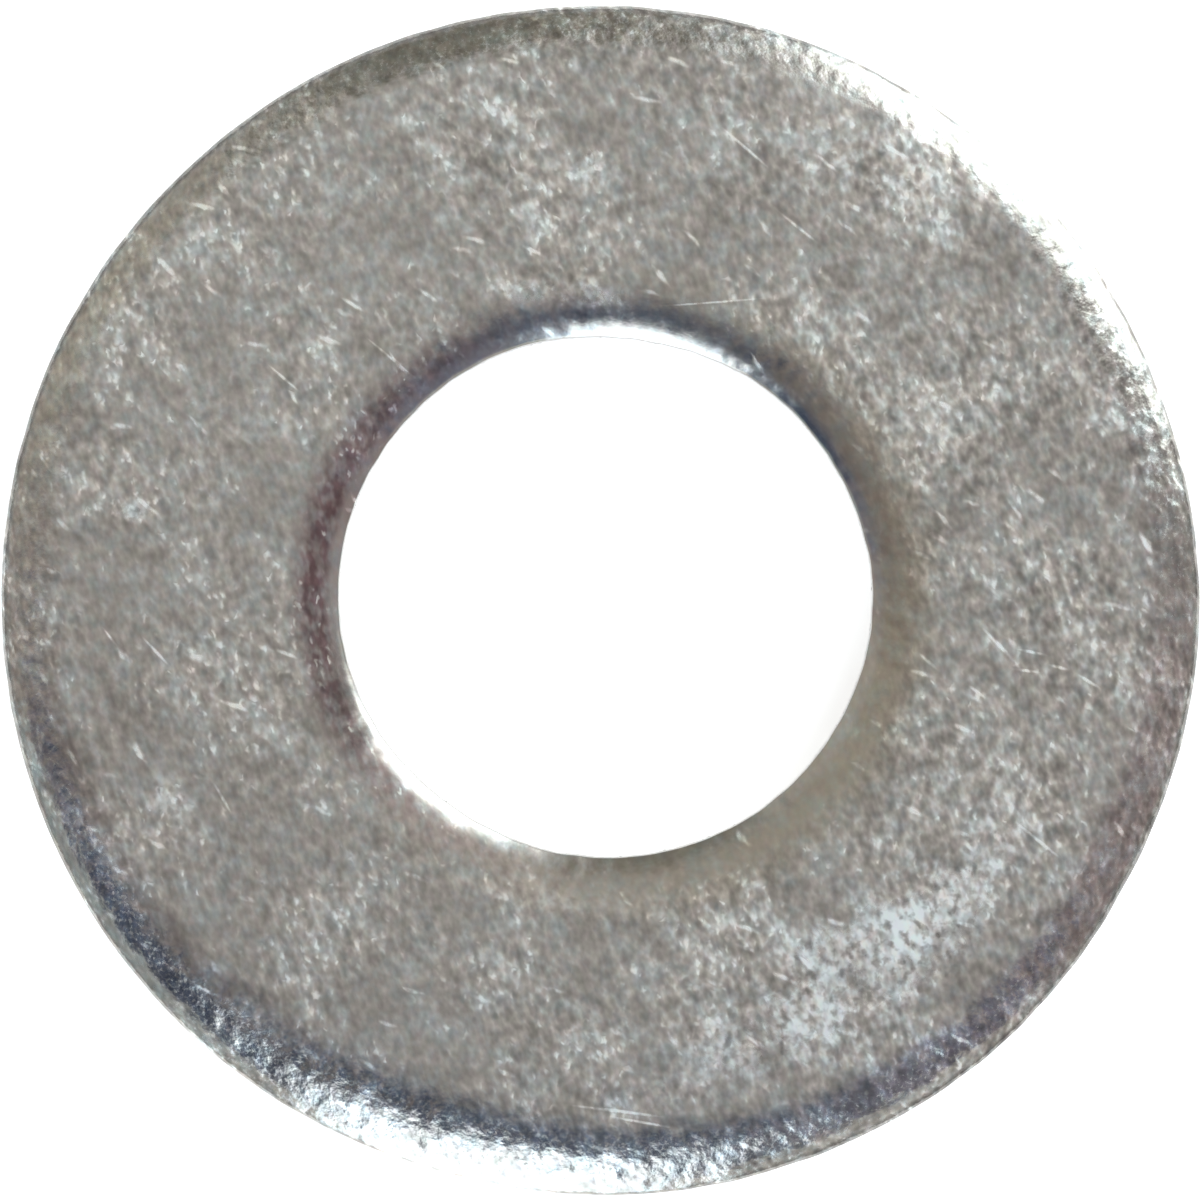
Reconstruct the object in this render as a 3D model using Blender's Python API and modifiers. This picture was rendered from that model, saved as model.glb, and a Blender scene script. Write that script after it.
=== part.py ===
"""Flat washer, 3/8 in USS pattern, in zinc-plated low-carbon steel.

The washer is one stamped piece: a flat ring with a hole for a bolt. It lies flat, with
the origin at the centre of its lower face and +Z up. A compound die cuts the rim and the
hole in the same stroke from above, which gives both cut edges the same form from top to
bottom: a roll-over that curves down from the top face, a straight burnished land at the
full cut size, a break that leans back from that size, and a tumbled lower corner.

All lengths are in metres.
"""
import math

import bmesh
import bpy

INCH = 0.0254

# Driving dimensions: the ring.
OUTSIDE_DIAMETER = 1.000 * INCH
HOLE_DIAMETER = 0.438 * INCH
THICKNESS = 0.083 * INCH

# Driving dimensions: the cut edges. A roll is as wide as it reaches across the top face,
# and as deep as it drops below it.
RIM_ROLL_WIDTH = 0.00140
RIM_ROLL_DEPTH = 0.00040
HOLE_ROLL_WIDTH = 0.00125
HOLE_ROLL_DEPTH = 0.00020
LAND_SHARE = 0.40
BREAK_LEAN = 0.00006
CORNER_RADIUS = 0.00014

# How finely the round stretches are cut into flats.
TURN_STEPS = 96
ROLL_STEPS = 7
CORNER_STEPS = 3
SHARP_ANGLE = math.radians(40.0)

# Bright zinc over steel.
ZINC_COLOUR = (0.56, 0.56, 0.54, 1.0)
ZINC_ROUGHNESS = 0.30


def clear_scene():
    """Remove every object, so that the model starts from an empty scene."""
    for old in list(bpy.data.objects):
        bpy.data.objects.remove(old, do_unlink=True)


def make_collection(name):
    """Make a collection in the scene for the washer's parts."""
    collection = bpy.data.collections.new(name)
    bpy.context.scene.collection.children.link(collection)
    return collection


def zinc_plated_steel():
    """Bright zinc plating: a pale metal with a soft shine."""
    material = bpy.data.materials.new("zinc_plated_steel")
    material.use_nodes = True
    shader = material.node_tree.nodes["Principled BSDF"]
    shader.inputs["Base Color"].default_value = ZINC_COLOUR
    shader.inputs["Metallic"].default_value = 1.0
    shader.inputs["Roughness"].default_value = ZINC_ROUGHNESS
    return material


def quarter_turn(steps):
    """Angles from 0 to 90 degrees in equal steps, both ends included."""
    return [0.5 * math.pi * step / steps for step in range(steps + 1)]


def cut_edge(cut_radius, outward, roll_width, roll_depth):
    """Section of one cut edge as (radius, height) points, from the top face to the bottom.

    outward is +1 for the rim, whose wall faces away from the axis, and -1 for the hole.
    The roll is a quarter of an ellipse, which leaves the top face and meets the land
    without a corner. The break leans back from the cut radius, into the steel.
    """
    land_end = (THICKNESS - roll_depth) * (1.0 - LAND_SHARE)
    foot_radius = cut_radius - outward * BREAK_LEAN
    points = []
    for angle in quarter_turn(ROLL_STEPS):
        across = roll_width * (1.0 - math.sin(angle))
        drop = roll_depth * (1.0 - math.cos(angle))
        points.append((cut_radius - outward * across, THICKNESS - drop))
    points.append((cut_radius, land_end))
    for angle in quarter_turn(CORNER_STEPS):
        inset = CORNER_RADIUS * (1.0 - math.cos(angle))
        height = CORNER_RADIUS * (1.0 - math.sin(angle))
        points.append((foot_radius - outward * inset, height))
    return points


def washer_section():
    """Closed section of the ring: down the rim, in along the bottom and up the hole."""
    rim = cut_edge(0.5 * OUTSIDE_DIAMETER, 1.0, RIM_ROLL_WIDTH, RIM_ROLL_DEPTH)
    hole = cut_edge(0.5 * HOLE_DIAMETER, -1.0, HOLE_ROLL_WIDTH, HOLE_ROLL_DEPTH)
    return rim + hole[::-1]


def section_mesh(name, section):
    """Closed loop of edges through the section's points, in the XZ plane."""
    mesh = bpy.data.meshes.new(name)
    loop = bmesh.new()
    corners = [loop.verts.new((radius, 0.0, height)) for radius, height in section]
    for start, end in zip(corners, corners[1:] + corners[:1]):
        loop.edges.new((start, end))
    loop.to_mesh(mesh)
    loop.free()
    return mesh


def turn_section(name, section, collection):
    """Turn a closed section a full circle about Z, smooth but for its sharp corners."""
    outline = bpy.data.objects.new(name + "_section", section_mesh(name, section))
    collection.objects.link(outline)
    screw = outline.modifiers.new("turn", "SCREW")
    screw.axis = "Z"
    screw.angle = math.tau
    screw.screw_offset = 0.0
    screw.steps = TURN_STEPS
    screw.render_steps = TURN_STEPS
    screw.merge_threshold = 0.000001
    graph = bpy.context.evaluated_depsgraph_get()
    mesh = bpy.data.meshes.new_from_object(outline.evaluated_get(graph))
    bpy.data.objects.remove(outline, do_unlink=True)
    mesh.name = name
    mesh.shade_smooth()
    mesh.set_sharp_from_angle(angle=SHARP_ANGLE)
    return mesh


def make_washer(collection):
    """The stamped ring, which is the whole of the object."""
    mesh = turn_section("washer", washer_section(), collection)
    mesh.materials.append(zinc_plated_steel())
    washer = bpy.data.objects.new("washer", mesh)
    collection.objects.link(washer)
    return washer


def main():
    clear_scene()
    make_washer(make_collection("flat_washer"))


main()
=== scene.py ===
"""Looks of the flat washer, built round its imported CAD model.

One finely turned ring stands for the CAD ring. It has the same size, and adds what a
stamped, tumbled and zinc-plated washer shows: rolled-over edges of uneven width, a hole
punched slightly off centre, slightly oval outlines, burnished and broken walls, dings,
worn places and scratches.

Lengths are in metres and angles in radians, unless a name says otherwise. Directions round
the washer are counted from +X towards +Y. The camera looks straight down, with +X to the
right and +Y up.
"""
import math
from types import SimpleNamespace

import bpy
import numpy as np
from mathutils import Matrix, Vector


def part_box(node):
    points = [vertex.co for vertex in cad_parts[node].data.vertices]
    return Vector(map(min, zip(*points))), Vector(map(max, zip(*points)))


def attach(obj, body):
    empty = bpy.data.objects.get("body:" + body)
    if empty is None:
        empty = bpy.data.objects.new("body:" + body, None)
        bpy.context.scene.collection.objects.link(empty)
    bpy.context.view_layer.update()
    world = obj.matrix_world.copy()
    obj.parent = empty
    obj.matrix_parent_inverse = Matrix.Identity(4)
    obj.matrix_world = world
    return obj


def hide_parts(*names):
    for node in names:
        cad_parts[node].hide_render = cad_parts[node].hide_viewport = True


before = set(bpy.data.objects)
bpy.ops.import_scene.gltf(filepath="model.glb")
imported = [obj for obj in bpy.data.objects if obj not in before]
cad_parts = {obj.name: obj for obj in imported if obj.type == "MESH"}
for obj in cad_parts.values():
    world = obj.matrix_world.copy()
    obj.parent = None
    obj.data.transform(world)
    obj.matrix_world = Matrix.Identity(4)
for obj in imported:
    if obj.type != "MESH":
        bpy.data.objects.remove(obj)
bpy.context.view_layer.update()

MM = 0.001
MICRON = 0.000001


# ---------------------------------------------------------------- sizes from the frame

def hole_radius_of(node):
    """Radius of the CAD ring's hole, where it is narrowest."""
    return min(math.hypot(v.co.x, v.co.y) for v in node.data.vertices)


BOX_LOW, BOX_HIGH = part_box("washer")
RIM_RADIUS = 0.5 * (BOX_HIGH.x - BOX_LOW.x)
HOLE_RADIUS = hole_radius_of(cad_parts["washer"])
MIDDLE_RADIUS = 0.5 * (RIM_RADIUS + HOLE_RADIUS)
THICKNESS = BOX_HIGH.z - BOX_LOW.z
BASE = BOX_LOW.z

# The hole is punched this far off the rim's centre.
HOLE_SHIFT = Vector((0.108 * MM, 0.080 * MM))

# The rim and the hole are slightly oval: how much further they reach across the oval and
# along it than the CAD, and the heading of its length.
RIM_OVAL = (-0.02 * MM, 0.06 * MM)
RIM_OVAL_HEADING = math.radians(171.0)
HOLE_OVAL = (-0.025 * MM, 0.115 * MM)
HOLE_OVAL_HEADING = math.radians(164.0)

# The rolled-over edges: how far they reach across the face, and how far they drop.
RIM_ROLL_WIDTH = 1.33 * MM
RIM_ROLL_DEPTH = 0.40 * MM
HOLE_ROLL_WIDTH = 1.25 * MM
HOLE_ROLL_DEPTH = 0.168 * MM

# How round a roll's section is: 2 is a quarter of an ellipse, and 1 a straight bevel.
RIM_ROLL_ROUND = 2.0
HOLE_ROLL_ROUND = 1.55

# Where the die was slacker: heading, spread, and how much further the rim's roll reaches
# or the hole's roll drops there.
RIM_SLACK = (math.radians(249.0), math.radians(30.0), 0.68 * MM)
HOLE_SLACKS = (
    (math.radians(208.0), math.radians(58.0), 0.072 * MM),
    (math.radians(87.0), math.radians(16.0), 0.026 * MM),
)

# The cut walls: the share of a wall's height that the burnished land takes, how far the
# break below it leans back, as a power of the way down, and the lower corner.
LAND_SHARE = 0.42
BREAK_LEAN = 0.06 * MM
BREAK_CURVE = 0.7
CORNER_RADIUS = 0.14 * MM

# How unevenly all of that is cut: the outlines' slow wander and fine fray, the rolls'
# widths, the rim roll's depth (as a share), the land's end, the corner's radius (as a
# share), the score marks down the land, and the torn grain of the break, which comes in
# over its first part (as a share).
OUTLINE_WANDER = 0.02 * MM
OUTLINE_FRAY = 0.006 * MM
ROLL_WANDER = 0.04 * MM
DEPTH_WANDER = 0.04
LAND_WANDER = 0.08 * MM
CORNER_WANDER = 0.25
SCORE_DEPTH = 0.0025 * MM
TORN_DEPTH = 0.012 * MM
TORN_ONSET = 0.2

# Unevenness of the faces: how high it is and how long its waves are. The peel lies on the
# rolls only, where the cut stretched the steel.
FACE_WAVES = (1.2 * MICRON, 3.2 * MM)
FACE_SWELL = (0.5 * MICRON, 0.9 * MM)
FACE_RIPPLE = (0.3 * MICRON, 0.42 * MM)
ROLL_PEEL = (2.6 * MICRON, 0.40 * MM)

# How strong the peel and the pebbled grain are on the hole's roll, next to the rim's, and
# how far down a roll they reach their full strength.
HOLE_PEEL = 0.35
HOLE_PEBBLES = 0.25
STRETCHED = 0.35

# Beside the hole: brown staining on one side, which also paints a dark reflection there as
# painted shade, and straw-coloured plating on the other. Each has its middle and spread
# round the hole, and the distances from the hole's edge at which it begins to fade and ends.
STAIN_AND_SHADE_HEADING = math.radians(175.0)
STAIN_AND_SHADE_SPREAD = math.radians(66.0)
STAIN_AND_SHADE_FADE = (0.60 * MM, 1.20 * MM)
STRAW_HEADING = math.radians(345.0)
STRAW_SPREAD = math.radians(105.0)
STRAW_FADE = (0.50 * MM, 1.90 * MM)

# The brown staining with its painted shade, and the straw colour, leave the hole's edge next
# to the wall clear, up to these distances from it.
TARNISH_AND_SHADE_CLEAR = (0.10 * MM, 0.38 * MM)

# The plating is calmer beside the hole, by this much and over these distances from it.
CALM_SHARE = 0.78
CALM_FADE = (0.55 * MM, 1.35 * MM)

# Arcs where the very edge of the rim is painted darker, as painted shade, and where the
# very edge of the rim or the hole is painted brighter, as painted highlights, as heading
# and spread, and the shares of the roll between which the painted band begins.
PAINTED_SHADE_RIM = ((math.radians(145.0), math.radians(58.0)), (math.radians(322.0), math.radians(38.0)))
PAINTED_HIGHLIGHT_RIM = ((math.radians(45.0), math.radians(11.0)), (math.radians(257.0), math.radians(9.0)))
PAINTED_HIGHLIGHT_HOLE = ((math.radians(224.0), math.radians(20.0)), (math.radians(82.0), math.radians(17.0)))
PAINTED_EDGE_SHARES = (0.70, 0.82)

# Dings, in millimetres: random small ones, as their count and the smallest and largest
# distance from the axis, radius and depth, and then bolder ones as heading in degrees,
# distance from the axis, radius and depth.
DING_COUNT = 90
DING_PLACES = (6.5, 12.3)
DING_RADII = (0.13, 0.34)
DING_DEPTHS = (0.0015, 0.0060)
BOLD_DINGS = (
    (81.6, 12.35, 0.12, 0.016),
    (275.6, 11.75, 0.15, 0.014),
    (278.5, 11.30, 0.12, 0.010),
    (238.0, 11.55, 0.22, 0.012),
    (7.5, 12.05, 0.16, 0.012),
    (21.0, 11.60, 0.20, 0.010),
    (352.0, 11.95, 0.22, 0.012),
    (306.0, 11.85, 0.18, 0.014),
    (312.0, 11.50, 0.24, 0.010),
    (101.0, 9.20, 0.20, 0.006),
)

# How many rings of faces each stretch of the section has, and how many faces go round.
TURN_FACES = 840
FACE_RINGS = 44
RIM_ROLL_RINGS = 20
HOLE_ROLL_RINGS = 14
WALL_RINGS = 10
CORNER_RINGS = 3
UNDER_RINGS = 12


# ---------------------------------------------------------------- uneven shapes

def ripple(angles, lowest, highest, seed):
    """Smooth uneven curve round the ring, about -1 to 1, from waves lowest to highest."""
    rng = np.random.default_rng(seed)
    waves = np.arange(lowest, highest + 1)
    phases = rng.uniform(0.0, math.tau, waves.size)
    sizes = rng.uniform(0.5, 1.0, waves.size)
    sizes /= np.sqrt(np.sum(sizes ** 2))
    return sum(s * np.cos(w * angles + p) for w, p, s in zip(waves, phases, sizes))


def beside(angles, heading, spread):
    """Smooth hump round the ring: 1 at the heading, and falling off over the spread."""
    away = (angles - heading + math.pi) % math.tau - math.pi
    return np.exp(-(away / spread) ** 2)


def relief(x, y, wavelength, seed, waves=48):
    """Smooth uneven height over a plane, about -1 to 1, with features of one size."""
    rng = np.random.default_rng(seed)
    headings = rng.uniform(0.0, math.tau, waves)
    phases = rng.uniform(0.0, math.tau, waves)
    lengths = wavelength * rng.uniform(0.7, 1.5, waves)
    total = np.zeros_like(x)
    for heading, phase, length in zip(headings, phases, lengths):
        along = (x * math.cos(heading) + y * math.sin(heading)) / length
        total += np.cos(math.tau * along + phase)
    return total / math.sqrt(0.5 * waves)


def ease(value, low, high):
    """Smooth step from 0 at low to 1 at high."""
    t = np.clip((value - low) / (high - low), 0.0, 1.0)
    return t * t * (3.0 - 2.0 * t)


# ---------------------------------------------------------------- the ring's section

def roll_points(share, width, depth, roundness):
    """A rolled-over edge's inset and drop at share 0, where it leaves the face, to 1."""
    turn = share * 0.5 * math.pi
    power = 2.0 / roundness
    inset = width * (1.0 - math.sin(turn) ** power)
    return inset, depth * (1.0 - max(math.cos(turn), 0.0) ** power)


def cut_edge(angles, cut, outward, width, depth, roundness, roll_rings, seed):
    """Rings of one cut edge, from the end of the top face down to the bottom face.

    outward is 1 for the rim, whose wall faces away from the axis, and -1 for the hole.
    """
    made = []
    for step in range(roll_rings):
        share = (step + 1.0) / roll_rings
        inset, drop = roll_points(share, width, depth, roundness)
        made.append((cut - outward * inset, THICKNESS - drop, "roll", share))
    top = THICKNESS - depth
    land_end = top * (1.0 - LAND_SHARE) + LAND_WANDER * ripple(angles, 2, 30, seed=seed)
    wall_foot = CORNER_RADIUS * (1.0 + CORNER_WANDER * ripple(angles, 3, 40, seed=seed + 1))
    for step in range(WALL_RINGS):
        share = (step + 1.0) / WALL_RINGS
        height = top + (wall_foot - top) * share
        below = np.clip((land_end - height) / (land_end - wall_foot), 0.0, 1.0)
        score = SCORE_DEPTH * ripple(angles, 60, 260, seed=seed + 2)
        torn = TORN_DEPTH * ripple(angles, 30, 240, seed=seed + 10 + step)
        torn *= ease(below, 0.0, TORN_ONSET)
        lean = BREAK_LEAN * below ** BREAK_CURVE
        made.append((cut - outward * (lean + torn - score), height, "wall", 1.0))
    for step in range(CORNER_RINGS):
        turn = 0.5 * math.pi * (step + 1.0) / CORNER_RINGS
        inset = BREAK_LEAN + wall_foot * (1.0 - math.cos(turn))
        height = wall_foot * (1.0 - math.sin(turn))
        made.append((cut - outward * inset, height, "corner", 1.0))
    return made


def rim_sizes(angles):
    """The rim's cut radius, roll width and roll depth, for every angle."""
    cut = RIM_RADIUS + OUTLINE_WANDER * (ripple(angles, 2, 9, seed=11) - 1.0)
    cut += OUTLINE_FRAY * ripple(angles, 20, 90, seed=12)
    heading, spread, reach = RIM_SLACK
    width = RIM_ROLL_WIDTH + reach * beside(angles, heading, spread)
    width += ROLL_WANDER * ripple(angles, 3, 24, seed=15)
    depth = RIM_ROLL_DEPTH * (1.0 + DEPTH_WANDER * ripple(angles, 2, 12, seed=17))
    return cut, width, depth


def hole_sizes(angles):
    """The hole's cut radius, roll width and roll depth, for every angle."""
    cut = HOLE_RADIUS + OUTLINE_WANDER * ripple(angles, 2, 7, seed=13)
    cut += OUTLINE_FRAY * ripple(angles, 14, 60, seed=14)
    width = HOLE_ROLL_WIDTH + ROLL_WANDER * ripple(angles, 3, 16, seed=16)
    depth = np.full_like(angles, HOLE_ROLL_DEPTH)
    for heading, spread, drop in HOLE_SLACKS:
        depth += drop * beside(angles, heading, spread)
    return cut, width, depth


def section_rings(angles):
    """Rings of points round the washer: across the top, down the rim, under, up the hole.

    Each ring is (radius, height, zone, rolled): a radius and height for every angle, and
    how much the ring was drawn over by the cut, from 0 on the faces to 1.
    """
    rim, rim_width, rim_depth = rim_sizes(angles)
    hole, hole_width, hole_depth = hole_sizes(angles)
    rim_edge = cut_edge(
        angles, rim, 1.0, rim_width, rim_depth, RIM_ROLL_ROUND, RIM_ROLL_RINGS, seed=21
    )
    hole_edge = cut_edge(
        angles, hole, -1.0, hole_width, hole_depth, HOLE_ROLL_ROUND, HOLE_ROLL_RINGS, seed=51
    )
    rings = []
    inner, outer = hole + hole_width, rim - rim_width
    for step in range(FACE_RINGS + 1):
        radius = inner + (outer - inner) * step / FACE_RINGS
        rings.append((radius, np.full_like(angles, THICKNESS), "face", 0.0))
    rings += rim_edge
    outer, inner = rim_edge[-1][0], hole_edge[-1][0]
    for step in range(1, UNDER_RINGS):
        radius = outer + (inner - outer) * step / UNDER_RINGS
        rings.append((radius, np.zeros_like(angles), "under", 0.0))
    return rings + hole_edge[::-1]


def oval_reach(angles, reaches, heading):
    """How much further than its circle an oval reaches, for every angle."""
    across, along = reaches
    return across + (along - across) * np.cos(angles - heading) ** 2


def ring_grid():
    """Points of the ring as arrays, one row a ring: x, y, height, zone, roll and radius.

    The radius is the point's own before the ring is made oval and its hole is shifted.
    """
    angles = np.arange(TURN_FACES) * math.tau / TURN_FACES
    rings = section_rings(angles)
    radius = np.array([ring[0] for ring in rings])
    height = np.array([ring[1] for ring in rings])
    zones = np.array([ring[2] for ring in rings])
    rolled = np.array([ring[3] for ring in rings])[:, None] * np.ones_like(radius)
    inward = 1.0 - ease(radius, HOLE_RADIUS + HOLE_ROLL_WIDTH, MIDDLE_RADIUS)
    rim_reach = oval_reach(angles, RIM_OVAL, RIM_OVAL_HEADING)
    hole_reach = oval_reach(angles, HOLE_OVAL, HOLE_OVAL_HEADING)
    reach = radius + rim_reach * (1.0 - inward) + hole_reach * inward
    x = reach * np.cos(angles) + HOLE_SHIFT.x * inward
    y = reach * np.sin(angles) + HOLE_SHIFT.y * inward
    return x, y, height, zones, rolled, radius


def dings(x, y):
    """Depth of the small dents that tumbling with other washers leaves."""
    rng = np.random.default_rng(seed=81)
    ranges = ((0.0, 360.0), DING_PLACES, DING_RADII, DING_DEPTHS)
    small = [[rng.uniform(low, high) for low, high in ranges] for _ in range(DING_COUNT)]
    total = np.zeros_like(x)
    for heading, from_axis, size, depth in [*small, *BOLD_DINGS]:
        turn = math.radians(heading)
        away_x = x - from_axis * MM * math.cos(turn)
        away_y = y - from_axis * MM * math.sin(turn)
        total += depth * MM * np.exp(-(away_x ** 2 + away_y ** 2) / (size * MM) ** 2)
    return total


def uneven(x, y, waves, seed):
    """Unevenness of a face, from how high it is and how long its waves are."""
    reach, length = waves
    return reach * relief(x, y, length, seed=seed)


def by_edge(radius, at_hole):
    """1 on the rim's side of the ring, and the value at_hole on the hole's side."""
    return np.where(radius > MIDDLE_RADIUS, 1.0, at_hole)


def add_relief(x, y, height, zones, rolled, radius):
    """Give the upper and lower faces their gentle unevenness and dings."""
    swell = uneven(x, y, FACE_WAVES, seed=71) + uneven(x, y, FACE_SWELL, seed=72)
    stretched = by_edge(radius, HOLE_PEEL) * ease(rolled, 0.0, STRETCHED)
    change = swell + uneven(x, y, FACE_RIPPLE, seed=73)
    change += stretched * uneven(x, y, ROLL_PEEL, seed=74)
    change -= np.max(change) + dings(x, y)
    upper = (zones == "face") | (zones == "roll")
    height[upper] += change[upper]
    under = zones == "under"
    height[under] += (swell - np.min(swell))[under]
    return height


def tarnish_and_shade(angles, radius, heading, spread, fade):
    """Mask beside the hole, 0 to 1, over an arc round a heading: tarnished straw plating, and
    brown staining that also paints a dark reflection as painted shade.
    """
    inset = radius - HOLE_RADIUS
    arc = beside(angles, heading, spread)
    return arc * ease(inset, fade[1], fade[0]) * ease(inset, *TARNISH_AND_SHADE_CLEAR)


def calm(radius):
    """How much calmer the speckle is beside the hole, 0 to 1."""
    return CALM_SHARE * ease(radius - HOLE_RADIUS, CALM_FADE[1], CALM_FADE[0])


def painted_edge_band(angles, radius, zones, rolled, arcs, by_rim):
    """Painted highlight and painted shade band: how close to the wall the roll is, 0 to 1, along
    some arcs of the rim or the hole.
    """
    strength = sum(beside(angles, heading, spread) for heading, spread in arcs)
    chosen = (zones == "roll")[:, None] & ((radius > MIDDLE_RADIUS) == by_rim)
    return np.where(chosen, strength * ease(rolled, *PAINTED_EDGE_SHARES), 0.0)


def laid_out(x, y, height, zones):
    """Each point's place in millimetres, with the walls folded out flat round the face.

    Textures in these coordinates don't smear down the walls. The bottom face shares out
    the difference between its two edges.
    """
    radius = np.hypot(x, y)
    unfold = (THICKNESS - height) * np.where(radius > MIDDLE_RADIUS, 1.0, -1.0)
    under = zones == "under"
    across = (radius - HOLE_RADIUS) / (RIM_RADIUS - HOLE_RADIUS)
    unfold[under] = (THICKNESS * (2.0 * across - 1.0))[under]
    spread = (1.0 + unfold / radius) / MM
    return np.stack([x * spread, y * spread, np.zeros_like(x)], axis=-1)


def shades(zones, rolled, radius):
    """Masks for the material, each from 0 to 1 at every point of the ring."""
    angles = np.arange(radius.shape[1]) * math.tau / radius.shape[1]
    wall = (zones == "wall") | (zones == "corner")
    # Painted highlights along arcs of the rim's and the hole's rolled edges, and painted shade
    # along arcs of the rim's.
    painted_highlight_rim = painted_edge_band(angles, radius, zones, rolled, PAINTED_HIGHLIGHT_RIM, True)
    painted_highlight_hole = painted_edge_band(angles, radius, zones, rolled, PAINTED_HIGHLIGHT_HOLE, False)
    return {
        "pebbled": ease(rolled, 0.0, STRETCHED) * by_edge(radius, HOLE_PEBBLES),
        "wall": wall[:, None] * np.ones_like(radius),
        "dark": painted_edge_band(angles, radius, zones, rolled, PAINTED_SHADE_RIM, True),
        "bright": painted_highlight_rim + painted_highlight_hole,
        "calm": calm(radius),
        # Brown staining beside the hole that also paints a dark reflection as painted shade.
        "stain_and_shade": tarnish_and_shade(angles, radius, STAIN_AND_SHADE_HEADING, STAIN_AND_SHADE_SPREAD, STAIN_AND_SHADE_FADE),
        "straw": tarnish_and_shade(angles, radius, STRAW_HEADING, STRAW_SPREAD, STRAW_FADE),
    }


def loop_faces(rows, columns):
    """Corners of the faces between each ring and the next, and the last ring and the first."""
    row = np.arange(rows)[:, None]
    column = np.arange(columns)[None, :]
    next_row, next_column = (row + 1) % rows, (column + 1) % columns
    corners = [
        row * columns + column,
        next_row * columns + column,
        next_row * columns + next_column,
        row * columns + next_column,
    ]
    return np.stack(corners, axis=-1).reshape(-1, 4)


def ring_mesh(name):
    """Closed mesh of the ring: every ring of points joins the next, and the last the first."""
    x, y, height, zones, rolled, radius = ring_grid()
    height = add_relief(x, y, height, zones, rolled, radius)
    rows, columns = x.shape
    points = np.stack([x, y, BASE + height], axis=-1).reshape(-1, 3)
    mesh = bpy.data.meshes.new(name)
    mesh.from_pydata(points.tolist(), [], loop_faces(rows, columns).tolist())
    mesh.update()
    mesh.shade_smooth()
    for key, values in shades(zones, rolled, radius).items():
        attribute = mesh.attributes.new(key, "FLOAT", "POINT")
        attribute.data.foreach_set("value", values.astype(np.float32).ravel())
    skin = mesh.attributes.new("skin", "FLOAT_VECTOR", "POINT")
    skin.data.foreach_set("vector", laid_out(x, y, height, zones).astype(np.float32).ravel())
    return mesh


# ---------------------------------------------------------------- shader building

class Tree:
    """Short ways to add and join the nodes of one shader tree."""

    def __init__(self, owner):
        owner.use_nodes = True
        self.tree = owner.node_tree
        self.tree.nodes.clear()

    def add(self, kind, **settings):
        """Add a node of one kind, with its settings."""
        node = self.tree.nodes.new(kind)
        for key, value in settings.items():
            setattr(node, key, value)
        return node

    def put(self, socket, value):
        """Join a socket to a socket, or set it to a plain value."""
        if isinstance(value, bpy.types.NodeSocket):
            self.tree.links.new(value, socket)
        else:
            socket.default_value = value

    def math(self, operation, a, b=0.0, c=0.0, clamp=False):
        """Work out one number from up to three."""
        node = self.add("ShaderNodeMath", operation=operation, use_clamp=clamp)
        for socket, value in zip(node.inputs, (a, b, c)):
            self.put(socket, value)
        return node.outputs[0]

    def vector(self, operation, a, b):
        """Work out one vector from two."""
        node = self.add("ShaderNodeVectorMath", operation=operation)
        self.put(node.inputs[0], a)
        self.put(node.inputs[1], b)
        return node.outputs["Vector"]

    def length(self, vector):
        """A vector's length."""
        node = self.add("ShaderNodeVectorMath", operation="LENGTH")
        self.put(node.inputs[0], vector)
        return node.outputs["Value"]

    def combine(self, x, y, z):
        """Vector with these parts."""
        node = self.add("ShaderNodeCombineXYZ")
        for socket, value in zip(node.inputs, (x, y, z)):
            self.put(socket, value)
        return node.outputs[0]

    def attribute(self, name):
        """One of the mesh's masks."""
        node = self.add("ShaderNodeAttribute", attribute_name=name)
        return node.outputs["Fac"]

    def split(self, vector):
        """A vector's or colour's three parts."""
        node = self.add("ShaderNodeSeparateXYZ")
        self.put(node.inputs[0], vector)
        return node.outputs[0], node.outputs[1], node.outputs[2]

    def step(self, value, low, high, to_low=0.0, to_high=1.0):
        """Smooth step of value: to_low at low, to_high at high, and held beyond them."""
        node = self.add("ShaderNodeMapRange", interpolation_type="SMOOTHSTEP")
        for key, given in (
            ("Value", value), ("From Min", low), ("From Max", high),
            ("To Min", to_low), ("To Max", to_high),
        ):
            self.put(node.inputs[key], given)
        return node.outputs[0]

    def mix(self, factor, a, b, blend="MIX"):
        """Mix two colours."""
        node = self.add("ShaderNodeMix", data_type="RGBA", blend_type=blend)
        self.put(node.inputs[0], factor)
        self.put(node.inputs[6], a)
        self.put(node.inputs[7], b)
        return node.outputs[2]

    def noise(self, place, scale, detail, rough, dimensions="2D"):
        """Noise from 0 to 1, with a scale in features a millimetre."""
        return self.noises(place, scale, detail, rough, dimensions).outputs[0]

    def noises(self, place, scale, detail, rough, dimensions="2D"):
        """Noise node, whose Color holds three noises that have nothing to do with each other."""
        node = self.add("ShaderNodeTexNoise", noise_dimensions=dimensions)
        self.put(node.inputs["Vector"], place)
        self.put(node.inputs["Scale"], scale)
        self.put(node.inputs["Detail"], detail)
        self.put(node.inputs["Roughness"], rough)
        return node

    def mapping(self, place, turn=0.0, scale=(1.0, 1.0, 1.0), shift=(0.0, 0.0, 0.0)):
        """Place turned about Z, then stretched: a scale under 1 makes features longer."""
        turned = self.add("ShaderNodeMapping", vector_type="POINT")
        self.put(turned.inputs["Vector"], place)
        turned.inputs["Rotation"].default_value = (0.0, 0.0, -turn)
        stretched = self.add("ShaderNodeMapping", vector_type="POINT")
        self.put(stretched.inputs["Vector"], turned.outputs[0])
        stretched.inputs["Scale"].default_value = scale
        stretched.inputs["Location"].default_value = shift
        return stretched.outputs[0]


def grey(value):
    """Neutral colour of one value."""
    return (value, value, value, 1.0)


# ---------------------------------------------------------------- zinc plating

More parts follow.
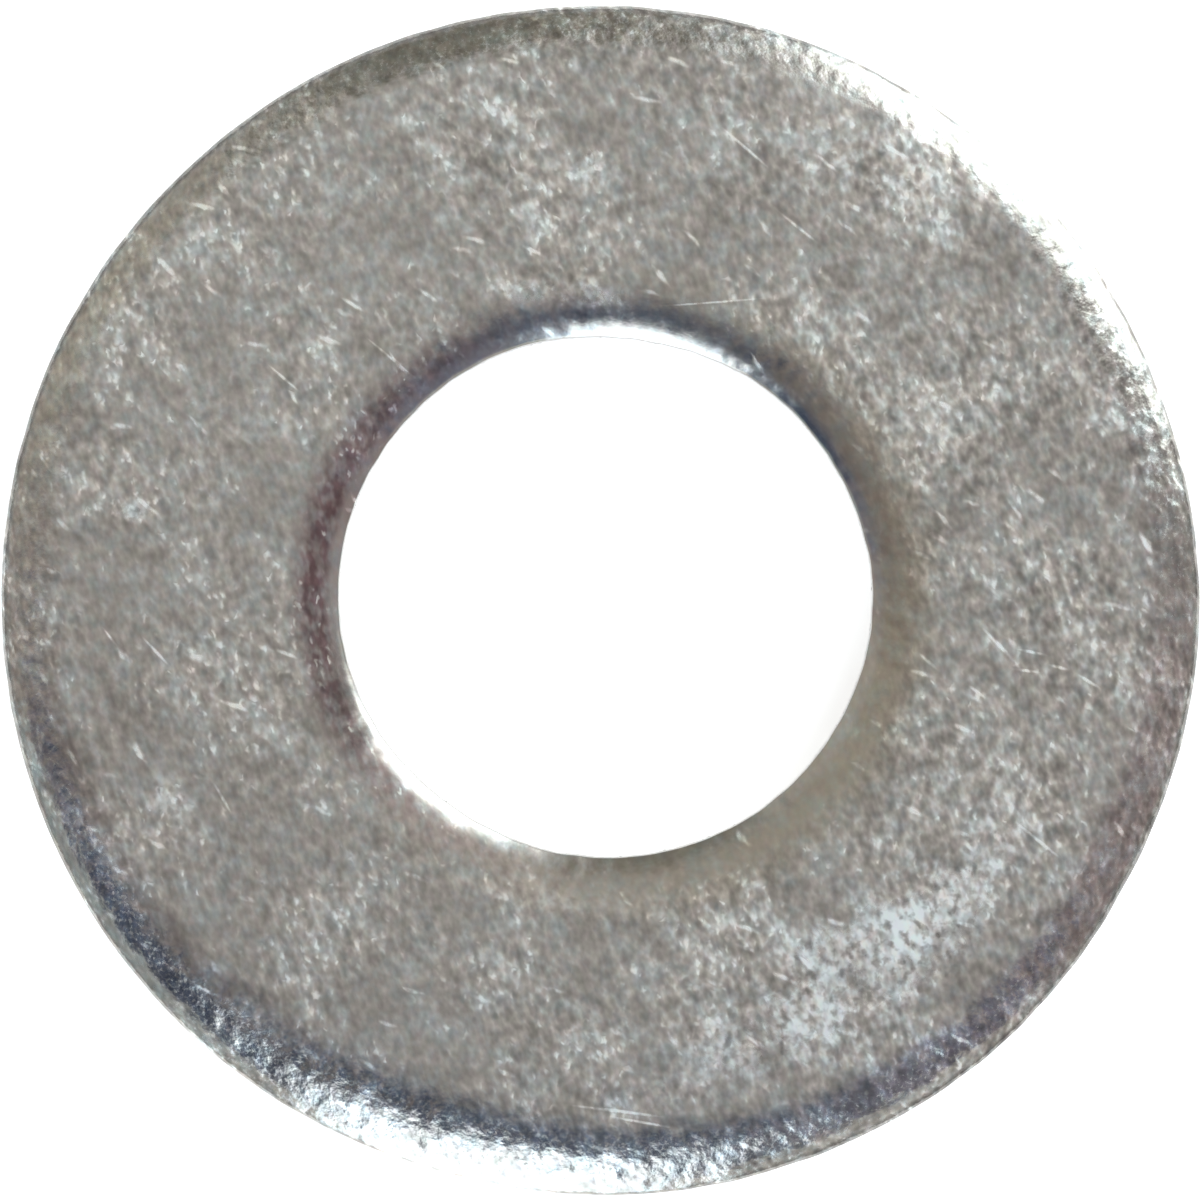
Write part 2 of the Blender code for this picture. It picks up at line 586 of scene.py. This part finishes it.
# Headings on the faces: the grain of the speckle, the places where flecks crowd, and the
# way most fine scratches run.
GRAIN_HEADING = math.radians(108.0)
SCUFF_HEADING = math.radians(135.0)
FINE_HEADING = math.radians(146.73)

# How far the grain and the flecks, and the places where flecks crowd, are stretched along
# those headings: a number under 1 makes them longer.
GRAIN_STRETCH = (0.65, 1.0, 1.0)
SCUFF_STRETCH = (0.6, 1.0, 1.0)

# Noises, as features a millimetre, levels of finer detail, and how strong each finer level
# is next to the one before: fine grain, the pebbles and pits of the rolls, places where
# flecks crowd, clouds, changes of tint, and the streaks down the walls.
GRAIN_NOISE = (4.7, 1.4, 0.65)
PEBBLE_NOISE = (5.0, 2.0, 0.5)
PIT_NOISE = (11.0, 1.0, 0.5)
CROWD_NOISE = (1.1, 3.0, 0.7)
CLOUD_NOISE = (0.35, 1.0, 0.5)
TINGE_NOISE = (1.7, 3.0, 0.75)
STREAK_NOISE = (1.0, 2.0, 0.6)

# The plating's middle reflectance, the most that it comes to, and how softly it levels
# off there. The other tones are powers of e over the middle one, for noises and masks from
# 0 to 1.
ZINC_TONE = 0.41
BRIGHTEST = 0.97
LEVELLING = 0.45
GRAIN_TONE = 1.25
CROWD_TONE = 1.05
CLOUD_TONE = 0.4
FLECK_TONE = 1.6
WORN_TONE = 0.60
WORN_SPOT_TONE = -0.50
SCRATCH_TONE = 0.95
# Painted shade and painted highlights along arcs of the rolled edges.
PAINTED_SHADE_TONE = -0.55
PAINTED_HIGHLIGHT_TONE = 0.75
TORN_TONE = -0.40

# The speckle is livelier on one side, between two places across in millimetres, livelier
# in some clouds than in others, and livelier where the plating is worn.
LIVELY_ACROSS = (-9.0, 9.0)
LIVELY = (0.88, 1.22)
CLOUD_RANGE = (0.3, 0.7)
LIVELY_CLOUDS = (0.80, 1.30)
WORN_LIVELY = 0.40

# Flecks: how many a millimetre holds, the smallest one's reach in its cell and how much
# further the largest one's is, the share of them that are too weak to show, how much fewer
# those are where flecks crowd, in clouds and in worn places, and the most strength that
# one can have. The grain and the tinge push their outlines out of round.
FLECK_SCALE = 6.0
FLECK_SMALLEST = 0.32
FLECK_SPREAD = 0.35
FLECK_RARITY = 0.66
FLECK_CROWDING = 1.7
FLECK_CLOUDING = 1.3
FLECK_WEAR = 0.22
FLECK_MOST = 0.40
FLECK_RAGGED = (0.22, 0.32, 0.0)

# What breaks up the flecks and scratches (the grain) and the worn places (the crowding):
# the noise's value where they are weakest and strongest, and their strengths there.
FLECK_BREAKS = (0.25, 0.65, 0.5, 1.15)
SCRATCH_BREAKS = (0.3, 0.6, 0.45, 1.0)
WORN_BREAKS = (0.25, 0.5, 0.5, 1.0)

# The values of the pebble noise between which a worn place darkens into spots.
WORN_SPOTS = (0.46, 0.72)

# The share of a worn place, or of a scratch, that has its full strength.
WORN_CORE = 0.15
SCRATCH_CORE = 0.2

# How cool the tint is: its share at the middle tone, how much more it is where the plating
# is bright, and the tones between which it comes in, and how much more by the tinge noise,
# where flecks crowd, by the grain and in worn places. The grain also turns it a little
# green or violet.
COOL_SHARE = 0.24
COOL_BRIGHT = 0.35
COOL_TONES = (0.0, 0.9)
COOL_TINGE = 2.5
COOL_CROWD = 1.0
COOL_GRAIN = 0.8
COOL_WORN = 0.10
GREEN_GRAIN = 0.13
ZINC_WARM = (1.0, 0.935, 0.865, 1.0)
ZINC_COOL = (0.925, 1.0, 1.0, 1.0)
# Brown staining colour, which also paints a dark reflection as painted shade.
STAIN_AND_SHADE_COLOUR = (0.49, 0.36, 0.40, 1.0)
STRAW_COLOUR = (0.84, 0.79, 0.69, 1.0)

# Heights of the grain on the faces, the pebbles on a roll, the streaks down a burnished
# wall and the grain of a torn one.
FACE_GRAIN = 2.0 * MICRON
ROLL_GRAIN = 6.5 * MICRON
STREAK_GRAIN = 9.0 * MICRON
TORN_GRAIN = 22.0 * MICRON

# A cut wall is burnished above and torn below: the heights in millimetres at which it
# turns, and how far the streaks push them up and down.
TORN_HEIGHTS = (1.10, 1.24)
TORN_TEETH = 0.35
STREAK_STRETCH = (3.0, 3.0, 0.35)
IN_MILLIMETRES = (1000.0, 1000.0, 1000.0)

# Roughness of the bare plating, and what crowded flecks, scratches, wear, walls, torn
# walls and the rolls' pits add to it.
ZINC_ROUGHNESS = 0.10
CROWD_ROUGHNESS = 0.12
SCRATCH_ROUGHNESS = 0.15
WORN_ROUGHNESS = 0.15
WALL_ROUGHNESS = 0.08
TORN_ROUGHNESS = 0.22
PIT_ROUGHNESS = 0.14
PIT_RANGE = (0.45, 0.80)

# The brown staining and its painted shade show least under bright flecks and in cool grain:
# the strengths of each at which they show fully and least, and their share where they show least.
STAIN_AND_SHADE_FLECKS = (0.20, 0.02, 0.1, 1.0)
STAIN_AND_SHADE_GRAIN = (0.35, 0.70, 1.0, 0.45)

# Fine random scratches: how far one leans off their heading at most, the length of their
# cells in millimetres, their own width, the width of their cells, the share of cells that
# hold one, and how much of its cell's length the shortest one's half takes and how much
# more the longest one's half does.
FINE_SCRATCHES = (0.4, 1.3, 0.15, 0.5, 0.35)
SCRATCH_SHORTEST = 0.06
SCRATCH_SPREAD = 0.26

# How far, in millimetres, worn places and fine scratches are bent out of shape.
BENDING = 0.5

# Worn places: centre and half sizes in millimetres, heading in degrees, and strength. One
# with a strength below 0 is a dull spot.
WORN_PLACES = (
    (5.6, -7.9, 4.2, 2.1, 36.0, 1.0),
    (2.9, -9.6, 2.2, 1.3, 15.0, 0.5),
    (8.5, -5.4, 2.2, 1.3, 55.0, 0.6),
    (7.4, -7.0, 1.8, 1.3, 45.0, 0.5),
    (1.2, -10.6, 2.0, 0.8, 5.0, 0.45),
    (-0.6, 6.5, 2.3, 0.55, -6.0, 0.9),
    (5.8, 9.2, 4.5, 1.6, -38.0, 0.45),
    (2.0, 9.5, 1.3, 0.18, -58.0, 0.6),
    (0.0, 9.2, 0.9, 0.7, 0.0, 0.6),
    (0.0, 9.45, 0.26, 0.10, -65.0, 1.2),
    (-1.0, -6.4, 2.4, 0.8, -12.0, 0.4),
    (-8.9, -4.3, 0.9, 0.7, 120.0, 0.6),
    (-7.6, 4.0, 2.4, 1.7, 50.0, 0.3),
    (-9.7, 1.85, 0.60, 0.35, 0.0, 0.8),
    (-8.35, -1.15, 0.40, 0.20, -20.0, 0.9),
    (-1.27, 6.95, 0.32, 0.20, 10.0, -1.0),
)

# Bold scratches: centre and half length and width in millimetres, and heading in degrees.
BOLD_SCRATCHES = (
    (-6.7, 4.7, 0.52, 0.045, 139.0),
    (-4.4, 5.1, 0.90, 0.040, 140.0),
    (6.95, -1.30, 0.30, 0.060, 138.0),
    (8.48, -0.98, 0.62, 0.060, 134.0),
    (9.14, -1.10, 0.42, 0.050, 168.0),
    (9.05, -1.50, 0.36, 0.050, 173.0),
    (9.75, -1.43, 0.26, 0.055, 165.0),
    (10.4, -1.74, 0.33, 0.055, 147.0),
    (7.97, -1.93, 0.30, 0.050, 142.0),
    (9.3, -5.1, 0.75, 0.050, 141.0),
    (4.2, 7.9, 0.65, 0.050, 141.0),
    (3.1, 9.6, 0.80, 0.050, 139.0),
    (2.4, 6.3, 1.30, 0.035, 5.0),
    (0.3, -10.85, 1.20, 0.050, 173.0),
    (0.9, -11.10, 0.80, 0.045, 170.0),
    (-10.4, -0.8, 0.35, 0.040, 127.0),
    (-9.43, -1.1, 0.50, 0.045, 133.0),
    (-8.0, -4.2, 0.45, 0.050, 120.0),
)


def oval(tree, place, x, y, half_length, half_width, heading, core):
    """Mask of one oval spot: 1 inside its core share, and fading to 0 at its edge."""
    unit = tree.add("ShaderNodeMapping", vector_type="TEXTURE")
    tree.put(unit.inputs["Vector"], place)
    unit.inputs["Location"].default_value = (x, y, 0.0)
    unit.inputs["Rotation"].default_value = (0.0, 0.0, heading)
    unit.inputs["Scale"].default_value = (half_length, half_width, 1.0)
    return tree.step(tree.length(unit.outputs[0]), 1.0, core)


def flecks(tree, place, scale, plenty):
    """Soft dots of uneven size and strength, one to a cell, and more where plenty is high."""
    voronoi = tree.add("ShaderNodeTexVoronoi", voronoi_dimensions="2D", feature="F1")
    tree.put(voronoi.inputs["Vector"], place)
    voronoi.inputs["Scale"].default_value = scale
    chance, size, _ = tree.split(voronoi.outputs["Color"])
    reach = tree.math("MULTIPLY_ADD", size, FLECK_SPREAD, FLECK_SMALLEST)
    dot = tree.step(tree.math("DIVIDE", voronoi.outputs["Distance"], reach), 1.0, 0.0)
    strength = tree.math("SUBTRACT", tree.math("ADD", chance, plenty), FLECK_RARITY)
    strength = tree.math("MINIMUM", tree.math("MAXIMUM", strength, 0.0), FLECK_MOST)
    return tree.math("MULTIPLY", dot, strength)


def scratches(tree, place, heading, lean, length, width, gap, share):
    """Mask of sparse thin scratches that taper at both ends and lean about one heading.

    The face is divided into cells, length by gap millimetres, and share of them hold one
    scratch each, up to two thirds of its cell long.
    """
    cells = tree.mapping(place, heading, (1.0 / length, 1.0 / gap, 1.0), (3.0, 3.0, 0.0))
    voronoi = tree.add("ShaderNodeTexVoronoi", voronoi_dimensions="2D", feature="F1")
    tree.put(voronoi.inputs["Vector"], cells)
    voronoi.inputs["Scale"].default_value = 1.0
    chance, bold, side = tree.split(voronoi.outputs["Color"])
    away = tree.vector("SUBTRACT", cells, voronoi.outputs["Position"])
    away = tree.vector("MULTIPLY", away, (length, gap, 0.0))
    turned = tree.add("ShaderNodeVectorRotate", rotation_type="Z_AXIS")
    tree.put(turned.inputs["Vector"], away)
    tree.put(turned.inputs["Angle"], tree.math("MULTIPLY_ADD", side, 2.0 * lean, -lean))
    reach = tree.math("MULTIPLY_ADD", bold, SCRATCH_SPREAD * length, SCRATCH_SHORTEST * length)
    half_size = tree.combine(reach, 0.5 * width, 1.0)
    unit = tree.length(tree.vector("DIVIDE", turned.outputs[0], half_size))
    mask = tree.step(unit, 1.0, SCRATCH_CORE)
    chosen = tree.math("GREATER_THAN", chance, 1.0 - share)
    return tree.math("MULTIPLY", tree.math("MULTIPLY", mask, chosen), bold)


def sum_of(tree, total, terms):
    """Add each (value, weight) term, weighted, to a total."""
    for value, weight in terms:
        total = tree.math("MULTIPLY_ADD", value, weight, total)
    return total


def plating_noises(tree):
    """Places and noises that the plating's tone, tint, roughness and relief share."""
    here = tree.mapping(tree.add("ShaderNodeTexCoord").outputs["Object"], 0.0, IN_MILLIMETRES)
    place = tree.add("ShaderNodeAttribute", attribute_name="skin").outputs["Vector"]
    along_grain = tree.mapping(place, GRAIN_HEADING, GRAIN_STRETCH)
    along_scuffs = tree.mapping(place, SCUFF_HEADING, SCUFF_STRETCH)
    down_walls = tree.mapping(here, 0.0, STREAK_STRETCH)
    grains = tree.noises(along_grain, *GRAIN_NOISE).outputs["Color"]
    grain, cool_grain, green_grain = tree.split(grains)
    return SimpleNamespace(
        here=here,
        place=place,
        along_grain=along_grain,
        grain=grain,
        cool_grain=cool_grain,
        green_grain=green_grain,
        pebble=tree.noise(place, *PEBBLE_NOISE),
        pits=tree.step(tree.noise(place, *PIT_NOISE), *PIT_RANGE),
        crowd=tree.noise(along_scuffs, *CROWD_NOISE),
        cloud=tree.noise(place, *CLOUD_NOISE),
        tinge=tree.noise(place, *TINGE_NOISE),
        streak=tree.noise(down_walls, *STREAK_NOISE, dimensions="3D"),
    )


def worn_mask(tree, noises, bent):
    """How worn the plating is, 0 to 1 or a little more."""
    worn = 0.0
    for x, y, half_length, half_width, heading, strength in WORN_PLACES:
        sizes = half_length, half_width
        spot = oval(tree, bent, x, y, *sizes, math.radians(heading), WORN_CORE)
        worn = tree.math("MULTIPLY_ADD", spot, strength, worn)
    return tree.math("MULTIPLY", worn, tree.step(noises.crowd, *WORN_BREAKS))


def scratch_mask(tree, noises, bent):
    """Fine random scratches and the bold ones, broken up by the grain."""
    scratched = scratches(tree, bent, FINE_HEADING, *FINE_SCRATCHES)
    for x, y, half_length, half_width, heading in BOLD_SCRATCHES:
        sizes = half_length, half_width
        mark = oval(tree, noises.place, x, y, *sizes, math.radians(heading), SCRATCH_CORE)
        scratched = tree.math("MAXIMUM", scratched, mark)
    return tree.math("MULTIPLY", scratched, tree.step(noises.grain, *SCRATCH_BREAKS))


def fleck_mask(tree, noises, worn, lively):
    """Bright flecks, which crowd in some places and are fewer where the plating is calm."""
    terms = ((noises.crowd, FLECK_CROWDING), (noises.cloud, FLECK_CLOUDING), (worn, FLECK_WEAR))
    plenty = sum_of(tree, -0.5 * (FLECK_CROWDING + FLECK_CLOUDING), terms)
    ragged = tree.combine(noises.grain, noises.tinge, 0.0)
    ragged = tree.vector("MULTIPLY", ragged, FLECK_RAGGED)
    place = tree.vector("ADD", noises.along_grain, ragged)
    fleck = flecks(tree, place, FLECK_SCALE, plenty)
    fleck = tree.math("MULTIPLY", fleck, tree.step(noises.grain, *FLECK_BREAKS))
    return tree.math("MULTIPLY", fleck, lively)


def plating_masks(tree, noises):
    """Masks of what has happened to the plating, each from 0 to about 1."""
    wall = tree.attribute("wall")
    torn_below = tree.math("MULTIPLY_ADD", noises.streak, TORN_TEETH, tree.split(noises.here)[2])
    torn = tree.math("MULTIPLY", wall, tree.step(torn_below, *TORN_HEIGHTS, 1.0, 0.0))
    bend = tree.combine(tree.math("MULTIPLY", noises.crowd, BENDING), 0.0, 0.0)
    bent = tree.vector("ADD", noises.place, bend)
    worn = worn_mask(tree, noises, bent)
    # Brown staining beside the hole that also paints a dark reflection as painted shade.
    stain_and_shade = tree.attribute("stain_and_shade")
    outside_stain_and_shade = tree.math("SUBTRACT", 1.0, stain_and_shade)
    calmed = tree.math("MULTIPLY", tree.attribute("calm"), outside_stain_and_shade)
    lively = tree.math("SUBTRACT", 1.0, calmed)
    return SimpleNamespace(
        wall=wall,
        torn=torn,
        worn=worn,
        worn_spots=tree.math("MULTIPLY", worn, tree.step(noises.pebble, *WORN_SPOTS)),
        scratched=scratch_mask(tree, noises, bent),
        fleck=fleck_mask(tree, noises, worn, lively),
        lively=lively,
        stain_and_shade=stain_and_shade,
        straw=tree.attribute("straw"),
        # Painted shade and painted highlights along arcs of the rolled edges.
        dark=tree.attribute("dark"),
        bright=tree.attribute("bright"),
        pebbled=tree.attribute("pebbled"),
    )


def plating_tone(tree, noises, masks):
    """How much brighter the plating is than its middle, as a power of e."""
    terms = ((noises.grain, GRAIN_TONE), (noises.crowd, CROWD_TONE), (noises.cloud, CLOUD_TONE))
    tone = sum_of(tree, -0.5 * (GRAIN_TONE + CROWD_TONE + CLOUD_TONE), terms)
    across = tree.split(noises.place)[0]
    for liveliness in (
        masks.lively,
        tree.step(across, *LIVELY_ACROSS, *LIVELY),
        tree.step(noises.cloud, *CLOUD_RANGE, *LIVELY_CLOUDS),
        tree.math("MULTIPLY_ADD", masks.worn, WORN_LIVELY, 1.0),
    ):
        tone = tree.math("MULTIPLY", tone, liveliness)
    return sum_of(tree, tone, (
        (masks.fleck, FLECK_TONE),
        (masks.worn, WORN_TONE),
        (masks.scratched, SCRATCH_TONE),
        (masks.worn_spots, WORN_SPOT_TONE),
        # Painted shade and painted highlights along arcs of the rolled edges.
        (masks.dark, PAINTED_SHADE_TONE),
        (masks.bright, PAINTED_HIGHLIGHT_TONE),
        (masks.torn, TORN_TONE),
    ))


def plating_colour(tree, noises, masks):
    """Colour of the plating: its tone with painted highlights and shade on the rolled edges, a
    warm or cool tint, straw, and brown staining that also paints shade beside the hole.
    """
    tone = plating_tone(tree, noises, masks)
    light = tree.math("MULTIPLY", tree.math("EXPONENT", tone), ZINC_TONE)
    light = tree.math("SMOOTH_MIN", light, BRIGHTEST, LEVELLING)

    cool = tree.math("MULTIPLY", tree.step(tone, *COOL_TONES), COOL_BRIGHT)
    cool = sum_of(tree, cool, (
        (noises.tinge, COOL_TINGE),
        (noises.crowd, COOL_CROWD),
        (noises.cool_grain, COOL_GRAIN),
        (masks.worn, COOL_WORN),
    ))
    middle = 0.5 * (COOL_TINGE + COOL_CROWD + COOL_GRAIN)
    cool = tree.math("SUBTRACT", cool, middle - COOL_SHARE, clamp=True)
    tint = tree.mix(cool, ZINC_WARM, ZINC_COOL)
    green = tree.math("MULTIPLY_ADD", noises.green_grain, GREEN_GRAIN, 1.0 - 0.5 * GREEN_GRAIN)
    green = tree.math("MULTIPLY", light, green)
    colour = tree.mix(1.0, tint, tree.combine(light, green, light), "MULTIPLY")

    # Brown staining, partly painted shade that stands in for a dark reflection on the hole's roll.
    stain_and_shade = tree.math("MULTIPLY", masks.stain_and_shade, tree.step(masks.fleck, *STAIN_AND_SHADE_FLECKS))
    stain_and_shade = tree.math("MULTIPLY", stain_and_shade, tree.step(noises.cool_grain, *STAIN_AND_SHADE_GRAIN))
    for mask, tint_and_shade_colour in ((masks.straw, STRAW_COLOUR), (stain_and_shade, STAIN_AND_SHADE_COLOUR)):
        colour = tree.mix(mask, colour, tree.mix(1.0, colour, tint_and_shade_colour, "MULTIPLY"))
    return colour


def plating_roughness(tree, noises, masks):
    """Roughness of the plating: smooth, but for what has scuffed, torn or pitted it."""
    pitted = tree.math("MULTIPLY", noises.pits, masks.pebbled)
    return sum_of(tree, ZINC_ROUGHNESS, (
        (noises.crowd, CROWD_ROUGHNESS),
        (masks.scratched, SCRATCH_ROUGHNESS),
        (masks.worn, WORN_ROUGHNESS),
        (masks.wall, WALL_ROUGHNESS),
        (masks.torn, TORN_ROUGHNESS),
        (pitted, PIT_ROUGHNESS),
    ))


def plating_relief(tree, noises, masks):
    """Bumped normal: grain on the faces, pebbles on the rolls, streaks and tears on walls."""
    height = tree.math("MULTIPLY", noises.grain, tree.math("MULTIPLY", masks.lively, FACE_GRAIN))
    burnished = tree.math("SUBTRACT", masks.wall, masks.torn)
    height = sum_of(tree, height, (
        (noises.pebble, tree.math("MULTIPLY", masks.pebbled, ROLL_GRAIN)),
        (noises.streak, tree.math("MULTIPLY", burnished, STREAK_GRAIN)),
        (noises.grain, tree.math("MULTIPLY", masks.torn, TORN_GRAIN)),
    ))
    bump = tree.add("ShaderNodeBump")
    bump.inputs["Strength"].default_value = 1.0
    bump.inputs["Distance"].default_value = 1.0
    tree.put(bump.inputs["Height"], height)
    return bump.outputs[0]


def zinc_plating():
    """Bright zinc on stamped steel: fine speckle, worn places, scratches, faint tints."""
    material = bpy.data.materials.new("zinc_plated_steel")
    tree = Tree(material)
    shader = tree.add("ShaderNodeBsdfPrincipled")
    output = tree.add("ShaderNodeOutputMaterial")
    tree.put(output.inputs["Surface"], shader.outputs[0])
    noises = plating_noises(tree)
    masks = plating_masks(tree, noises)
    shader.inputs["Metallic"].default_value = 1.0
    tree.put(shader.inputs["Base Color"], plating_colour(tree, noises, masks))
    tree.put(shader.inputs["Roughness"], plating_roughness(tree, noises, masks))
    tree.put(shader.inputs["Normal"], plating_relief(tree, noises, masks))
    return material


def make_washer():
    """The stamped ring, in place of the CAD ring."""
    washer = bpy.data.objects.new("stamped_ring", ring_mesh("stamped_ring"))
    bpy.context.scene.collection.objects.link(washer)
    washer.data.materials.append(zinc_plating())
    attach(washer, "root")
    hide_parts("washer")
    return washer


# ---------------------------------------------------------------- studio

# The floor: its size, how far it lies under the washer, its colour and roughness, and the
# light that it gives off, which keeps it white in the washer's shade.
FLOOR_SIZE = 6.0
FLOOR_GAP = 0.02 * MM
FLOOR_PALE = 0.85
FLOOR_ROUGHNESS = 0.8
FLOOR_GLOW = 0.64


def make_floor():
    """Plain pale floor, just under the washer."""
    mesh = bpy.data.meshes.new("floor")
    half = 0.5 * FLOOR_SIZE
    sides = ((-half, -half), (half, -half), (half, half), (-half, half))
    corners = [(x, y, BASE - FLOOR_GAP) for x, y in sides]
    mesh.from_pydata(corners, [], [(0, 1, 2, 3)])
    floor = bpy.data.objects.new("floor", mesh)
    bpy.context.scene.collection.objects.link(floor)
    material = bpy.data.materials.new("floor_white")
    tree = Tree(material)
    shader = tree.add("ShaderNodeBsdfPrincipled")
    output = tree.add("ShaderNodeOutputMaterial")
    tree.put(output.inputs["Surface"], shader.outputs[0])
    shader.inputs["Base Color"].default_value = grey(FLOOR_PALE)
    shader.inputs["Roughness"].default_value = FLOOR_ROUGHNESS
    shader.inputs["Specular IOR Level"].default_value = 0.0
    shader.inputs["Emission Color"].default_value = grey(1.0)
    shader.inputs["Emission Strength"].default_value = FLOOR_GLOW
    mesh.materials.append(material)


# Cards and lamps round the washer: name, heading and half width in degrees round, lowest
# and highest angle from straight up, soft edge, and colour times strength.
STUDIO = (
    ("side_glow", 54.5, 18.0, 9.0, 75.0, 7.0, (1.12, 1.12, 1.12)),
    ("side_shade", 12.0, 18.0, 9.0, 46.0, 7.0, (0.50, 0.49, 0.49)),
    ("olive_card", 104.0, 20.0, 18.0, 68.0, 7.0, (0.37, 0.36, 0.31)),
    ("tan_card", 150.0, 20.0, 20.0, 68.0, 8.0, (0.72, 0.69, 0.61)),
    ("taupe_card", 184.0, 16.0, 5.0, 68.0, 6.0, (0.56, 0.52, 0.49)),
    ("mauve_card", 215.0, 23.0, 6.0, 24.0, 5.0, (0.43, 0.40, 0.40)),
    ("slate_card", 199.0, 11.0, 18.0, 42.0, 6.0, (0.34, 0.33, 0.38)),
    ("navy_card", 221.0, 15.0, 19.0, 43.0, 5.0, (0.09, 0.12, 0.20)),
    ("pale_card", 214.0, 20.0, 44.0, 80.0, 4.0, (0.60, 0.66, 0.67)),
    ("dim_card", 350.0, 14.0, 8.0, 68.0, 6.0, (0.62, 0.56, 0.56)),
    ("brown_card", 330.0, 13.0, 13.0, 68.0, 6.0, (0.52, 0.45, 0.46)),
    ("violet_card", 306.0, 15.0, 10.0, 40.0, 5.0, (0.28, 0.28, 0.37)),
    ("blue_card", 263.0, 27.0, 8.0, 44.0, 3.5, (0.08, 0.12, 0.22)),
    ("lower_lamp", 260.3, 17.3, 20.5, 86.0, 3.0, (3.0, 3.4, 3.7)),
    ("side_window", 48.5, 15.5, 27.0, 42.0, 6.0, (4.0, 4.4, 4.4)),
    ("upper_window", 45.0, 23.0, 42.0, 110.0, 6.0, (4.0, 4.4, 4.4)),
)

# The light round the washer, behind the cards: its colour overhead and near the horizon,
# and the angles from straight up between which one turns into the other. The camera sees
# a plain white backdrop instead.
OVERHEAD = (0.79, 0.79, 0.772, 1.0)
HORIZON = (0.58, 0.58, 0.57, 1.0)
HORIZON_ANGLES = (62.0, 74.0)
BACKDROP = (1.0, 1.0, 1.0, 1.0)


def make_studio_light():
    """Light from all round: a mid-grey ceiling, three large soft lamps and plain cards."""
    world = bpy.data.worlds.new("studio")
    bpy.context.scene.world = world
    tree = Tree(world)
    direction = tree.add("ShaderNodeTexCoord").outputs["Generated"]
    x, y, z = tree.split(direction)
    from_up = tree.math("MULTIPLY", tree.math("ARCCOSINE", z), 180.0 / math.pi)
    heading = tree.math("MULTIPLY", tree.math("ARCTAN2", y, x), 180.0 / math.pi)
    colour = tree.mix(tree.step(from_up, *HORIZON_ANGLES), OVERHEAD, HORIZON)
    for _, middle, half_width, low, high, soft, shade in STUDIO:
        off = tree.math("SUBTRACT", heading, middle)
        off = tree.math("ABSOLUTE", tree.math("WRAP", off, 180.0, -180.0))
        inside = tree.step(off, half_width + soft, half_width - soft)
        inside = tree.math("MULTIPLY", inside, tree.step(from_up, low - soft, low + soft))
        inside = tree.math("MULTIPLY", inside, tree.step(from_up, high + soft, high - soft))
        colour = tree.mix(inside, colour, (*shade, 1.0))
    lit = tree.add("ShaderNodeBackground")
    tree.put(lit.inputs["Color"], colour)
    seen = tree.add("ShaderNodeBackground")
    seen.inputs["Color"].default_value = BACKDROP
    path = tree.add("ShaderNodeLightPath")
    both = tree.add("ShaderNodeMixShader")
    tree.put(both.inputs[0], path.outputs["Is Camera Ray"])
    tree.put(both.inputs[1], lit.outputs[0])
    tree.put(both.inputs[2], seen.outputs[0])
    output = tree.add("ShaderNodeOutputWorld")
    tree.put(output.inputs["Surface"], both.outputs[0])


# The camera: its focal length and sensor width in millimetres, the nearest and furthest
# that it sees, and the share of the picture's width that the rim fills.
CAMERA_LENS = 200.0
CAMERA_SENSOR = 36.0
CAMERA_REACH = (0.01, 10.0)
RIM_FILL = 0.9975


def make_camera():
    """Long lens that looks straight down, with the rim almost filling the picture."""
    data = bpy.data.cameras.new("camera")
    data.lens = CAMERA_LENS
    data.sensor_width = CAMERA_SENSOR
    camera = bpy.data.objects.new("camera", data)
    bpy.context.scene.collection.objects.link(camera)
    picture_width = 2.0 * RIM_RADIUS / RIM_FILL
    distance = picture_width * CAMERA_LENS / CAMERA_SENSOR
    camera.location = (0.0, 0.0, BASE + THICKNESS + distance)
    data.clip_start, data.clip_end = CAMERA_REACH
    bpy.context.scene.camera = camera


make_washer()
make_floor()
make_studio_light()
make_camera()
bpy.context.scene.view_settings.view_transform = "Standard"
